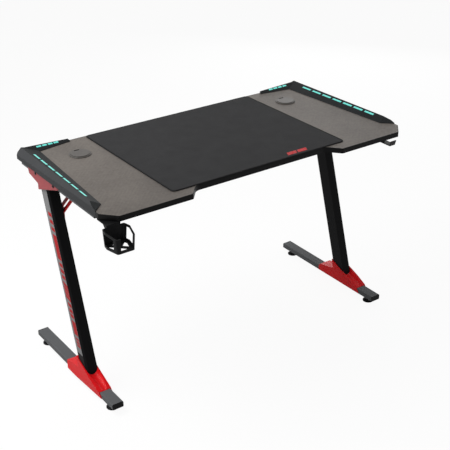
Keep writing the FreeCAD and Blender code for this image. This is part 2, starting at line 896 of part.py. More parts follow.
def make_legs():
    tube = leg_prism(foot_high, rail_low, 0).cut(leg_prism(foot_high, rail_low, -tube_wall))
    plates = []
    for y, z in ((leg_foot_y, foot_high), (leg_top_y, rail_low - leg_plate)):
        y0 = y - leg_plate_reach
        y1 = y + leg_plate_reach
        plates.append(box(frame_inner, frame_outer, y0, y1, z, z + leg_plate))
    leg = fuse([tube] + plates)
    for y in foot_bolt_ys:
        leg = leg.cut(post(frame_x, y, foot_high, foot_high + leg_plate, bolt_hole))
    for y in rail_bolt_ys:
        leg = leg.cut(post(frame_x, y, rail_low - leg_plate, rail_low, bolt_hole))
    leg = leg.cut(spindle(frame_inner, frame_inner + tube_wall, brace_y, brace_bolt_z, bolt_hole))
    parts["leg_right"] = leg
    parts["leg_left"] = mirrored(leg)


def make_beams():
    for name, y in beam_ys.items():
        z0 = rail_low
        z1 = rail_low + beam_height
        end = frame_inner - beam_flange
        beam = box(-end, end, y - beam_depth / 2, y + beam_depth / 2, z0, z1)
        edges = [e for e in beam.Edges if abs(e.tangentAt(e.FirstParameter).x) > 0.9]
        beam = beam.makeFillet(tube_radius, edges)
        beam = beam.cut(box(-end, end, y - beam_depth / 2 + tube_wall, y + beam_depth / 2 - tube_wall,
                            z0 + tube_wall, z1 - tube_wall))
        reach = beam_depth / 2 + beam_flange_overhang
        plate = box(end, frame_inner, y - reach, y + reach, z0, z1)
        beam = fuse([beam, plate, mirrored(plate)])
        for s in (1, -1):
            for step in (-1, 1):
                hole_y = y + step * beam_bolt_reach
                z = rail_low + rail_height / 2
                beam = beam.cut(spindle(s * end, s * frame_inner, hole_y, z, bolt_hole))
        for x in beam_screw_xs:
            beam = beam.cut(post(x, y, z0, z1, hole_radius))
        if name == "rear":
            for s in (1, -1):
                beam = beam.cut(post(s * brace_far_x, brace_y, z0, z0 + tube_wall, bolt_hole))
        parts["crossbeam_%s" % name] = beam


def make_braces():
    # Bent strap: a tab on the leg, a slotted slope at 45 degrees and a tab under the beam
    foot_x = frame_inner
    slope_top = rail_low
    slope_x = foot_x - brace_rise
    bend_z = slope_top - brace_rise
    line = [(foot_x, brace_foot_z), (foot_x, bend_z), (slope_x, slope_top)]
    line.append((slope_x - brace_tab_length, slope_top))
    y0 = brace_y - brace_width / 2
    brace = front_prism(strap(line, brace_thick), y0, y0 + brace_width)
    along = vec(-1, 0, 1).normalize()
    across = vec(1, 0, 1).normalize()
    start = vec(foot_x, brace_y, bend_z) + along * brace_slot_start
    runs = [(0.0, brace_slot_long), (brace_slot_long + brace_slot_bridge, brace_slot_short)]
    for offset, length in runs:
        half = brace_slot_width / 2
        a = start + along * (offset + half)
        b = start + along * (offset + length - half)
        depth = across * brace_thick * 3
        for end in (a, b):
            brace = brace.cut(rod(end - depth, end + depth, half))
        ring = [a - depth + vec(0, half, 0), b - depth + vec(0, half, 0), b - depth - vec(0, half, 0),
                a - depth - vec(0, half, 0)]
        brace = brace.cut(polygon_face(ring).extrude(depth * 2))
    brace = brace.cut(spindle(foot_x - brace_thick, foot_x, brace_y, brace_bolt_z, bolt_hole))
    brace = brace.cut(post(brace_far_x, brace_y, rail_low - brace_thick, rail_low, bolt_hole))
    parts["corner_brace_right"] = brace
    parts["corner_brace_left"] = mirrored(brace)


# Red plastic covers

def make_gussets():
    # Plate over the joint of leg and rail, pointed at its lower rear
    t = leg_top_y
    top = board_low - gusset_top_gap
    ring = [(t + gusset_rear, top), (t + gusset_rear_low, rail_low - gusset_rear_drop),
            (t + gusset_tip, rail_low - gusset_tip_high), (t + gusset_tip, rail_low - gusset_tip_low),
            (t - gusset_front_low, rail_low + gusset_front_rise), (t - gusset_front, top)]
    x0 = frame_outer + gusset_seat
    x1 = x0 + gusset_thick
    plate = side_prism(ring, x0, x1)
    face = [f for f in plate.Faces if f.CenterOfMass.x > x1 - 0.01]
    plate = plate.makeChamfer(gusset_bevel, face[0].Edges)
    for y in gusset_screw_ys:
        plate = plate.cut(spindle(x0, x1, y, gusset_screw_z, hole_radius))
    parts["leg_gusset_right"] = plate
    parts["leg_gusset_left"] = mirrored(plate)


def make_shrouds():
    # Saddle over the foot bar with two wings that rise beside the leg to its rear edge
    y = leg_foot_y
    z = foot_high
    low = z - shroud_skirt
    inner = tube_width / 2 + shroud_wall
    front = y - shroud_front
    toe = front - shroud_toe
    rear = y + shroud_rear
    profile = [(toe, low), (front, z + shroud_deck_front), (y + shroud_peak_y, z + shroud_peak_z),
               (y + shroud_notch_y, z + shroud_notch_z), (rear - shroud_tail_drop, z + shroud_tail_z),
               (rear, z + shroud_tail_z - shroud_tail_drop), (rear, low)]
    x_in = frame_x - inner
    x_out = frame_x + inner
    body = side_prism(profile, x_in, x_out + shroud_flare)
    peak = z + shroud_peak_z
    shoulder = (x_out + shroud_flare * shroud_shoulder, z + shroud_shoulder_rise)
    section = [(x_in, low), (x_out + shroud_flare, low), shoulder, (x_out - shroud_draft, peak),
               (x_in + shroud_draft, peak)]
    body = body.common(front_prism(section, toe, rear))
    plan = [(x_in, toe), (x_out, toe), (x_out + shroud_flare, y + shroud_peak_y),
            (x_out + shroud_flare, rear - shroud_toe), (x_out, rear), (x_in, rear)]
    body = body.common(prism(plan, low, z + shroud_peak_z))
    saddle = tube_width / 2 + shroud_fit
    body = body.cut(box(frame_x - saddle, frame_x + saddle, toe, rear, low, z + shroud_fit))
    body = body.cut(leg_prism(z, z + shroud_peak_z * 2, shroud_leg_fit))
    room = tube_width / 2 + shroud_leg_fit
    plate_reach = leg_plate_reach + shroud_leg_fit
    hollow_top = z + leg_plate + bolt_head + shroud_leg_fit
    body = body.cut(box(frame_x - room, frame_x + room, y - plate_reach, y + plate_reach, z, hollow_top))
    # Cove between the wings in front of the leg
    floor_z = z + shroud_deck_front - shroud_cove_dip
    slope = (z + shroud_deck_rise - floor_z) / (y - plate_reach - front)
    start = vec(frame_x, front - shroud_cove_overrun, floor_z + room - slope * shroud_cove_overrun)
    finish = vec(frame_x, y, floor_z + room + slope * (y - front))
    body = body.cut(rod(start, finish, room))
    parts["foot_shroud_right"] = max(body.Solids, key=lambda s: s.Volume)
    parts["foot_shroud_left"] = mirrored(parts["foot_shroud_right"])


# Levelling feet and their threaded inserts

def make_levellers():
    flange_low = foot_low - insert_flange
    collar_top = flange_low - collar_top_gap
    stud_top = foot_high - tube_wall - stud_top_gap
    inserts = []
    for side, s in (("right", 1), ("left", -1)):
        for end, y in zip(("front", "rear"), leveller_ys):
            x = s * frame_x
            ring = [vec(0, 0, 0), vec(pad_radius, 0, 0), vec(pad_radius, 0, pad_edge),
                    vec(pad_top_radius, 0, pad_height), vec(0, 0, pad_height)]
            pad = polygon_face(ring).revolve(ORIGIN, Z_AXIS, 360)
            pad.translate(vec(x, y, 0))
            collar = hexagon_rod(x, y, pad_height, collar_top - pad_height, collar_flats, Z_AXIS)
            stud = post(x, y, collar_top, stud_top, stud_radius)
            parts["leveller_%s_%s" % (end, side)] = fuse([pad, collar, stud])
            sleeve = post(x, y, flange_low, flange_low + insert_depth, insert_radius)
            flange = post(x, y, flange_low, foot_low, insert_flange_radius)
            sleeve = fuse([sleeve, flange])
            thread = post(x, y, flange_low, flange_low + insert_depth, stud_radius + stud_fit)
            inserts.append(sleeve.cut(thread))
    parts["leveller_inserts"] = Part.makeCompound(inserts)


# Cup holder: a six-sided cage with an open front, on a tab under the board

cup_half = cup_depth / 2
cup_mid = cup_half - cup_mid_back
cup_x = -half_width + cup_mid_half - cup_overhang
cup_y = -half_depth + cup_back_gap - cup_half
cup_rim = board_low - cup_rim_drop
cup_floor = cup_rim - cup_height
cup_fall = cup_front_drop / (cup_mid + cup_half)
cup_tab_rear = cup_y + cup_half + cup_tab_length
cup_screw_spots = [(cup_x + s * cup_screw_pitch / 2, cup_tab_rear - cup_screw_margin) for s in (-1, 1)]


def cup_ring(inset, taper, z):
    # Plan of the cage about its middle, moved inwards by an inset and narrowed by a taper
    places = ((cup_front_half, inset - cup_half), (cup_mid_half, cup_mid), (cup_rear_half, cup_half - inset))
    right = [vec(half - inset - taper, y, z) for half, y in places]
    return right + [vec(-p.x, p.y, z) for p in right[::-1]]


def rounded_loft(first, second, radius):
    # Loft between two polygons with its upright edges rounded
    body = loft(first, second)
    uprights = [e for e in body.Edges if abs(e.tangentAt(e.FirstParameter).z) > 0.9]
    return body.makeFillet(radius, uprights)


def make_cup_holder():
    h = cup_half
    hole = h - cup_wall
    reach = cup_mid_half + cup_wall
    base = cup_floor + cup_base_thick
    lip = cup_floor + cup_lip
    cage = rounded_loft(cup_ring(0.0, cup_taper, cup_floor), cup_ring(0.0, 0.0, cup_rim), cup_corner)
    inner = cup_corner - cup_wall
    bore = rounded_loft(cup_ring(cup_wall, cup_taper, cup_floor), cup_ring(cup_wall, 0.0, cup_rim), inner)
    cage = cage.cut(bore.cut(box(-reach, reach, -h, h, cup_floor, base)))
    ahead = -h - cup_wall
    above = cup_rim + cup_wall
    slope = [(cup_mid, cup_rim), (ahead, cup_rim - cup_fall * (cup_mid - ahead))]
    slope += [(ahead, above), (cup_mid, above)]
    cage = cage.cut(side_prism(slope, -reach, reach))
    gate_x = (cup_front_flange - cup_front_half, cup_front_half - cup_side_flange)
    cage = cage.cut(box(gate_x[0], gate_x[1], ahead, -hole, lip, above))
    low_y = cup_front_flange - h
    high_y = hole - cup_side_flange
    bar = cup_rim - cup_rim_height
    window = [(low_y, lip), (high_y, lip), (high_y, bar), (cup_mid, bar)]
    window.append((low_y, bar - cup_fall * (cup_mid - low_y)))
    cage = cage.cut(side_prism(window, -reach, reach))
    holes = prism([(p.x, p.y) for p in cup_ring(cup_base_ring, cup_taper, 0.0)], cup_floor, base)
    for turn in (45, -45):
        spoke = box(-cup_depth, cup_depth, -cup_spoke / 2, cup_spoke / 2, cup_floor, base)
        spoke.rotate(ORIGIN, Z_AXIS, turn)
        holes = holes.cut(spoke)
    cage = cage.cut(holes)
    half = cup_tab_width / 2
    stem = box(-half, half, hole, h, cup_rim - cup_rim_height, board_low)
    tab = box(-half, half, hole, h + cup_tab_length, board_low - cup_wall, board_low)
    corners = [e for e in tab.Edges if abs(e.tangentAt(e.FirstParameter).z) > 0.9 and e.CenterOfMass.y > h]
    tab = tab.makeFillet(cup_corner, corners)
    web = [(h, board_low - cup_wall), (h, cup_rim - cup_rib_drop), (h + cup_rib_length, board_low - cup_wall)]
    ribs = [side_prism(web, x, x + cup_wall) for x in (-half, half - cup_wall)]
    holder = fuse([cage, stem, tab] + ribs)
    holder.translate(vec(cup_x, cup_y, 0))
    for x, y in cup_screw_spots:
        holder = holder.cut(post(x, y, board_low - cup_wall, board_low, hole_radius))
    parts["cup_holder"] = holder


# Headphone hook: one bent strip under the board

hook_screw_y = hook_stem_y - (hook_thick + hook_tab) / 2
hook_screw_spots = [(hook_x + s * hook_screw_pitch / 2, hook_screw_y) for s in (-1, 1)]


def make_hook():
    low = board_low - hook_drop
    tip_y = hook_stem_y - hook_arm
    line = [(hook_stem_y - hook_tab, board_low), (hook_stem_y, board_low), (hook_stem_y, low), (tip_y, low),
            (tip_y - hook_tip_lean, low + hook_tip_rise)]
    hook = side_prism(strap(line[::-1], hook_thick), hook_x - hook_width / 2, hook_x + hook_width / 2)
    for x, y in hook_screw_spots:
        hook = hook.cut(post(x, y, board_low - hook_thick, board_low, hole_radius))
    parts["headphone_hook"] = hook


# Light control box: tray, cover, circuit board, button and power socket

box_low = board_low - box_height
plate_top = board_low - board_plate_drop
plate_low = plate_top - board_plate
box_screw_spots = [(box_x + s * (box_length / 2 + box_ear / 2), box_y) for s in (-1, 1)]
socket_z = plate_low - socket_radius - hole_fit
lead_z = board_low - box_wall - lead_roof_gap - lead_radius


def socket_rod(y0, y1, radius):
    # Rod along the axis of the power socket
    return rod(vec(box_x, y0, socket_z), vec(box_x, y1, socket_z), radius)


def make_control_box():
    x0 = box_x - box_length / 2
    x1 = box_x + box_length / 2
    y0 = box_y - box_width / 2
    y1 = box_y + box_width / 2
    inside = box(x0 + box_wall, x1 - box_wall, y0 + box_wall, y1 - box_wall, box_low, board_low - box_wall)
    shell = box(x0, x1, y0, y1, box_low, board_low)
    edges = [e for e in shell.Edges if abs(e.tangentAt(e.FirstParameter).z) > 0.9]
    shell = shell.makeFillet(box_wall, edges).cut(inside)
    ears = box(x0 - box_ear, x1 + box_ear, box_y - box_ear, box_y + box_ear, board_low - box_wall, board_low)
    ears = ears.cut(box(x0 + box_wall, x1 - box_wall, y0, y1, box_low, board_low))
    posts = []
    for sx in (-1, 1):
        for sy in (-1, 1):
            x = box_x + sx * (box_length / 2 - post_inset)
            y = box_y + sy * (box_width / 2 - post_inset)
            posts.append(post(x, y, plate_top, board_low - box_wall, post_radius))
    tray = fuse([shell, ears] + posts)
    tray = tray.cut(socket_rod(y1 - box_wall, y1, socket_radius + hole_fit))
    for x in (x0, x1):
        tray = tray.cut(spindle(x - box_wall, x + box_wall, lead_run_y, lead_z, lead_radius + hole_fit))
    for x, y in box_screw_spots:
        tray = tray.cut(post(x, y, board_low - box_wall, board_low, hole_radius))
    parts["control_box_tray"] = tray
    cover = box(x0, x1, y0, y1, box_low - box_cover, box_low)
    edges = [e for e in cover.Edges if abs(e.tangentAt(e.FirstParameter).z) > 0.9]
    cover = cover.makeFillet(box_wall, edges)
    face_low = box_low - box_cover
    cover = cover.cut(post(box_x, box_y, face_low, box_low, button_radius + button_fit))
    parts["control_box_cover"] = cover
    gap = box_wall + board_edge_fit
    plate = box(x0 + gap, x1 - gap, y0 + gap, y1 - gap, plate_low, plate_top)
    half = switch_size / 2
    switch = box(box_x - half, box_x + half, box_y - half, box_y + half, plate_low - switch_height, plate_low)
    parts["control_board"] = fuse([plate, switch])
    rim_low = box_low + button_stop_gap
    press = post(box_x, box_y, face_low - button_proud, rim_low, button_radius)
    press = press.makeFillet(button_round, end_circle(press, vec(box_x, box_y, face_low - button_proud)))
    rim = post(box_x, box_y, rim_low, rim_low + button_rim_thick, button_radius + button_rim)
    stem_top = plate_low - switch_height - button_travel - button_stop_gap
    stem = post(box_x, box_y, rim_low, stem_top, button_stem)
    parts["control_button"] = fuse([press, rim, stem])
    back = y1 - socket_length
    face = y1 + socket_flange
    body = socket_rod(back, y1, socket_radius)
    flange = socket_rod(y1, face, socket_radius + socket_rim)
    bore = socket_rod(back + socket_rim, face, socket_bore)
    pin = socket_rod(back, y1, socket_pin)
    parts["power_socket"] = fuse([fuse([body, flange]).cut(bore), pin])


# Leads that run in clips under the board and rise into the trims

def lead_path(s):
    # Straight run along X, a level bend to the rear, then a bend up into the trim's hole
    start_x = box_x + s * (box_length / 2 - lead_inside)
    r = lead_bend
    x = s * lead_rise_x
    top = board_top - lead_end_gap
    q = math.sqrt(0.5)
    mid = lead_rise_y - r
    near = x - s * r
    turn_y = lead_run_y + r
    run_end = vec(near, lead_run_y, lead_z)
    turn_end = vec(x, turn_y, lead_z)
    rise_start = vec(x, mid, lead_z)
    rise_end = vec(x, lead_rise_y, lead_z + r)
    edges = [Part.LineSegment(vec(start_x, lead_run_y, lead_z), run_end)]
    edges.append(Part.Arc(run_end, vec(near + s * r * q, turn_y - r * q, lead_z), turn_end))
    edges.append(Part.LineSegment(turn_end, rise_start))
    edges.append(Part.Arc(rise_start, vec(x, mid + r * q, lead_z + r - r * q), rise_end))
    edges.append(Part.LineSegment(rise_end, vec(x, lead_rise_y, top)))
    return Part.Wire([edge.toShape() for edge in edges])


def make_leads():
    clips = []
    for side, s in (("right", 1), ("left", -1)):
        path = lead_path(s)
        circle = Part.Wire(Part.Circle(path.Vertexes[0].Point, vec(s, 0, 0), lead_radius).toShape())
        parts["light_lead_%s" % side] = path.makePipeShell([circle], True, False)
        x = box_x + s * (box_length / 2 + clip_inset)
        while abs(x) < lead_rise_x - clip_inset or x * s < 0:
            clips.append(make_clip(x))
            x += s * clip_pitch
    parts["lead_clips"] = Part.makeCompound(clips)


def make_clip(x):
    # Saddle with two feet under the board
    bore = lead_radius + clip_fit
    out = bore + clip_wall
    low = lead_z - out
    x0 = x - clip_width / 2
    x1 = x + clip_width / 2
    reach = out + clip_foot
    arch = box(x0, x1, lead_run_y - out, lead_run_y + out, low, board_low)
    feet = box(x0, x1, lead_run_y - reach, lead_run_y + reach, board_low - clip_wall, board_low)
    hollow = box(x0, x1, lead_run_y - bore, lead_run_y + bore, lead_z, board_low)
    round_seat = spindle(x0, x1, lead_run_y, lead_z, bore)
    return fuse([arch, feet]).cut(hollow).cut(round_seat)


# Fasteners

under_screws = []
screw_seats = ((cup_screw_spots, cup_wall), (hook_screw_spots, hook_thick), (box_screw_spots, box_wall))
for spots, plate in screw_seats:
    for x, y in spots:
        under_screws.append((vec(x, y, board_low - plate), vec(x, y, board_low + screw_grip)))


def screw(start, end):
    return headed(start, end, screw_radius, screw_head_radius, screw_head)


def bolt(start, end):
    return headed(start, end, bolt_radius, bolt_head_radius, bolt_head)


def make_fasteners():
    panel = []
    for x, y in panel_screw_places():
        panel.append(screw(vec(x, y, rail_low), vec(x, y, board_low + screw_grip)))
    trims = []
    for x, y in both_sides(trim_screw_places):
        trims.append(screw(vec(x, y, board_low), vec(x, y, board_top + trim_lip)))
    parts["panel_screws"] = Part.makeCompound(panel)
    parts["trim_screws"] = Part.makeCompound(trims)
    parts["accessory_screws"] = Part.makeCompound([screw(a, b) for a, b in under_screws])
    x = frame_x
    feet = []
    for y in foot_bolt_ys:
        feet.append(bolt(vec(x, y, foot_high + leg_plate), vec(x, y, foot_high - bolt_reach)))
    rails = []
    for y in rail_bolt_ys:
        rails.append(bolt(vec(x, y, rail_low - leg_plate), vec(x, y, rail_low + bolt_reach)))
    gussets = []
    z = gusset_screw_z
    for y in gusset_screw_ys:
        face = vec(frame_outer + gusset_seat + gusset_thick, y, z)
        gussets.append(screw(face, vec(frame_outer - screw_grip, y, z)))
    beams = []
    z = rail_low + rail_height / 2
    for beam_y in beam_ys.values():
        for y in (beam_y - beam_bolt_reach, beam_y + beam_bolt_reach):
            beams.append(bolt(vec(frame_inner - beam_flange, y, z), vec(frame_inner + bolt_reach, y, z)))
    tab = vec(frame_inner - brace_thick, brace_y, brace_bolt_z)
    side = bolt(tab, vec(frame_inner + bolt_reach, brace_y, brace_bolt_z))
    seat = vec(brace_far_x, brace_y, rail_low - brace_thick)
    braces = [side, bolt(seat, vec(brace_far_x, brace_y, rail_low + bolt_reach))]
    groups = {"foot_bolts": feet, "rail_bolts": rails, "gusset_screws": gussets}
    groups.update({"beam_bolts": beams, "brace_bolts": braces})
    for name, group in groups.items():
        parts[name] = Part.makeCompound(group + [mirrored(b) for b in group])


make_board()
make_mat()
make_trims()
make_grommets()
make_feet()
make_rails()
make_legs()
make_beams()
make_braces()
make_gussets()
make_shrouds()
make_levellers()
make_cup_holder()
make_hook()
make_control_box()
make_leads()
make_fasteners()

os.makedirs("parts", exist_ok=True)
for name, shape in parts.items():
    shape.exportStep("parts/%s.step" % name)
    print(name, len(shape.Solids), "solids", round(shape.Volume / 1000.0, 2), "cm3", shape.isValid())
print(len(parts), "nodes")
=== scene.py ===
import json
import math

import bmesh
import bpy
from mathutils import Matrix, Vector


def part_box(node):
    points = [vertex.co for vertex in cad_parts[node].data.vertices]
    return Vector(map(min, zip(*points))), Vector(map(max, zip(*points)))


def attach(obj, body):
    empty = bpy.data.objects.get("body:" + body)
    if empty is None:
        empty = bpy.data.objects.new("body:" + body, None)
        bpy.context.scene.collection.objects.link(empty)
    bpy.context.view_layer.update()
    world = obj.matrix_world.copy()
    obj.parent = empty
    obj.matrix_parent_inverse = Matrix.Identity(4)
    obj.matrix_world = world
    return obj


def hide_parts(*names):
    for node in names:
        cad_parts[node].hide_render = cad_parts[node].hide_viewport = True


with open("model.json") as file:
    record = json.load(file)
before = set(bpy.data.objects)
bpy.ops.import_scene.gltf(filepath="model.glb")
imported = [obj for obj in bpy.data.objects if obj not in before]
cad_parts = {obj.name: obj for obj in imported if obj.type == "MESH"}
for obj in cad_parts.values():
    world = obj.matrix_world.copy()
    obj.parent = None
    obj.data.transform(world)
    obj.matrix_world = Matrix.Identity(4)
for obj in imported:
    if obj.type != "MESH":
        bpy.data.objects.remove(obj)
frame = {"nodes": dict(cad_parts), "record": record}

mm = 0.001
nodes = frame["nodes"]
scene = bpy.context.scene
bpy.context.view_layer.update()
print("frame loaded,", len(nodes), "nodes")


def linear(colour):  # sRGB hex to linear RGBA
    channels = [int(colour[i:i + 2], 16) / 255 for i in (1, 3, 5)]
    return [c / 12.92 if c <= 0.04045 else ((c + 0.055) / 1.055) ** 2.4 for c in channels] + [1.0]


def addNode(tree, kind, settings=None, links=None):  # a node, its settings and what feeds it
    node = tree.nodes.new(kind)
    for name, value in (settings or {}).items():
        if isinstance(name, str) and hasattr(node, name):
            setattr(node, name, value)
        else:
            node.inputs[name].default_value = value
    for name, source in (links or {}).items():
        tree.links.new(source, node.inputs[name])
    return node


def emptyMaterial(name):
    material = bpy.data.materials.new(name)
    material.use_nodes = True
    material.node_tree.nodes.clear()
    return material, material.node_tree


# In a Mix node, socket 0 is the share, 2 and 3 are the numbers, 6 and 7 the colours, and output 2 is
# the mixed colour
grainDetail, cloudDetail = 2.0, 3.0  # noise octaves of fine grain and of slow changes
coatRough = 0.08

# Surfaces whose look is one grain over a slow change of tone
# tones: darker and lighter colour, rough: lowest and highest roughness, grain, relief and cloud in mm
finishes = {
    # extruded PVC edging: a dull black rim round the board
    "edge_pvc": dict(name="pvcEdging", tones=("#0a0a0b", "#121213"), rough=(0.34, 0.46),
                     grain=1.6, relief=0.03, cloud=60, specular=0.08),
    # white solder mask on a flexible circuit: plain white, slightly shiny
    "light_tape": dict(name="flexibleCircuit", tones=("#d8d8d2", "#efefea"), rough=(0.40, 0.55),
                       grain=1.0, relief=0.02, cloud=17, specular=0.5),
    # moulded ABS in a grey close to the film: only the rim and the slot stand out
    "grommet_abs": dict(name="texturedGreyAbs", tones=("#474441", "#54504c"), rough=(0.40, 0.55),
                        grain=1.6, relief=0.05, cloud=40, specular=0.35),
    # polyester powder coat on steel tube: dark grey with a fine orange peel
    "frame_steel": dict(name="charcoalPowderCoat", tones=("#686a6b", "#727375"), rough=(0.46, 0.60),
                        grain=1.8, relief=0.06, cloud=120, specular=0.05),
    # the legs' powder coat: the same peel, darkened to black as painted shade so the front faces stay in the
    # dark
    "leg": dict(name="blackLegPowderCoat", tones=("#111112", "#171718"), rough=(0.46, 0.60),
                grain=1.8, relief=0.06, cloud=120, specular=0.05),
    # polypropylene plugs: black and slightly waxy
    "cap_plastic": dict(name="blackPolypropylene", tones=("#0c0c0d", "#141415"), rough=(0.42, 0.55),
                        grain=1.4, relief=0.04, cloud=30, specular=0.08),
    # moulded ABS: clear red, satin, with a faint ripple of the mould
    "red_abs": dict(name="satinRedAbs", tones=("#f4171e", "#fd1d24"), rough=(0.42, 0.50),
                    grain=6.0, relief=0.01, cloud=70, specular=0.16, coat=0.05),
    # powder coat on sheet steel: clear red with a fine peel
    "red_steel": dict(name="redPowderCoat", tones=("#f61016", "#ff181d"), rough=(0.34, 0.46),
                      grain=1.8, relief=0.05, cloud=60, specular=0.35),
    # injection-moulded nylon: dull black, scuffed lighter in patches
    "pad_nylon": dict(name="blackNylon", tones=("#111112", "#1e1e1f"), rough=(0.48, 0.66),
                      grain=1.2, relief=0.05, cloud=12, specular=0.12),
    # zinc plating: pale metal with a slightly blotched gloss
    "insert_steel": dict(name="zincPlatedSteel", tones=("#a9adb0", "#c3c6c8"), rough=(0.26, 0.44),
                         grain=1.0, relief=0.02, cloud=5, specular=0.5, metallic=1.0),
    # moulded ABS, matt black, so the cage reads as a silhouette with soft rims
    "holder_abs": dict(name="texturedBlackAbs", tones=("#0c0c0d", "#161617"), rough=(0.40, 0.56),
                       grain=1.6, relief=0.06, cloud=40, specular=0.10),
    # powder coat on strip steel: black with an even, low sheen
    "hook_steel": dict(name="blackPowderCoat", tones=("#121213", "#1b1b1c"), rough=(0.40, 0.52),
                       grain=1.6, relief=0.05, cloud=40, specular=0.12),
    # moulded ABS of a small case: black with a fine grain
    "box_abs": dict(name="blackCaseAbs", tones=("#161617", "#202022"), rough=(0.44, 0.60),
                    grain=1.2, relief=0.05, cloud=30, specular=0.3),
    # silicone key: grey, with no gloss
    "button_silicone": dict(name="greySilicone", tones=("#4b4b4c", "#575758"), rough=(0.60, 0.75),
                            grain=0.8, relief=0.02, cloud=8, specular=0.25),
    # solder mask over copper: mottled green
    "circuit_board": dict(name="solderMask", tones=("#0d4a28", "#1c6b3c"), rough=(0.25, 0.40),
                          grain=1.5, relief=0.04, cloud=4, specular=0.5),
    # extruded soft PVC of a thin lead: smooth black
    "lead_pvc": dict(name="leadPvc", tones=("#101011", "#191919"), rough=(0.38, 0.50),
                     grain=1.2, relief=0.02, cloud=25, specular=0.35),
    # moulded nylon clip: black, a little greyer than the lead in it
    "clip_nylon": dict(name="clipNylon", tones=("#1c1c1d", "#29292a"), rough=(0.45, 0.60),
                       grain=1.0, relief=0.03, cloud=10, specular=0.35),
    # black oxide on steel: dark metal with worn, shinier spots
    "black_fastener": dict(name="blackOxideSteel", tones=("#1a1a1b", "#2c2c2d"), rough=(0.30, 0.50),
                           grain=0.9, relief=0.02, cloud=3, specular=0.4, metallic=0.6),
    # red powder coat with a painted sheen: the red paled to a rose tone, as a glossy face reflecting bright
    # light looks
    "gusset": dict(name="dustyRedPowderCoat", tones=("#a03f43", "#aa474b"), rough=(0.40, 0.52),
                   grain=1.8, relief=0.05, cloud=50, specular=0.25),
    # painted light: an even grey band on the leg's flat that stands for its lit outer face, under the red
    # marks
    "band": dict(name="greyScreenPrint", tones=("#868687", "#919192"), rough=(0.44, 0.58),
                 grain=1.4, relief=0.01, cloud=30, specular=0.2),
    # screen print in red: flat ink with a slightly uneven film
    "print": dict(name="redScreenPrint", tones=("#b5151b", "#c81b20"), rough=(0.40, 0.55),
                  grain=1.4, relief=0.01, cloud=20, specular=0.1),
    # spun polyester thread: black, hairy and dull
    "thread": dict(name="polyesterThread", tones=("#141415", "#232324"), rough=(0.75, 0.90),
                   grain=0.8, relief=0.15, cloud=6, specular=0.2),
}


def grainedSurface(finish):
    material, tree = emptyMaterial(finish["name"])
    place = addNode(tree, "ShaderNodeTexCoord").outputs["Object"]
    grain = addNode(tree, "ShaderNodeTexNoise",
                    {"Scale": 1 / (finish["grain"] * mm), "Detail": grainDetail}, {"Vector": place})
    cloud = addNode(tree, "ShaderNodeTexNoise",
                    {"Scale": 1 / (finish["cloud"] * mm), "Detail": cloudDetail}, {"Vector": place})
    dark, pale = finish["tones"]
    tone = addNode(tree, "ShaderNodeMix", {"data_type": "RGBA", 6: linear(dark), 7: linear(pale)},
                   {0: cloud.outputs[0]})
    rough = addNode(tree, "ShaderNodeMapRange",
                    {"To Min": finish["rough"][0], "To Max": finish["rough"][1]}, {"Value": grain.outputs[0]})
    bump = addNode(tree, "ShaderNodeBump", {"Distance": finish["relief"] * mm}, {"Height": grain.outputs[0]})
    shader = addNode(tree, "ShaderNodeBsdfPrincipled",
                     {"Specular IOR Level": finish["specular"], "Metallic": finish.get("metallic", 0.0),
                      "Coat Weight": finish.get("coat", 0.0), "Coat Roughness": coatRough},
                     {"Base Color": tone.outputs[2], "Roughness": rough.outputs[0],
                      "Normal": bump.outputs[0]})
    addNode(tree, "ShaderNodeOutputMaterial", None, {"Surface": shader.outputs[0]})
    return material


# PVC film with a printed and embossed carbon weave over particle board: grey-brown squares that
# catch the light in turn. The real tows are 2 mm wide, drawn wider here so that they show
# chance and warp: how far a tow's own tone and its direction change the shade, spread: the shade's range
filmLook = dict(tow=7.5, dark="#5a5551", pale="#746e68", backing="#232325", relief=0.08, rough=(0.44, 0.56),
                cloud=160, chance=0.3, warp=0.3, spread=(0.25, 1.2), faceUp=0.5, specular=0.12)


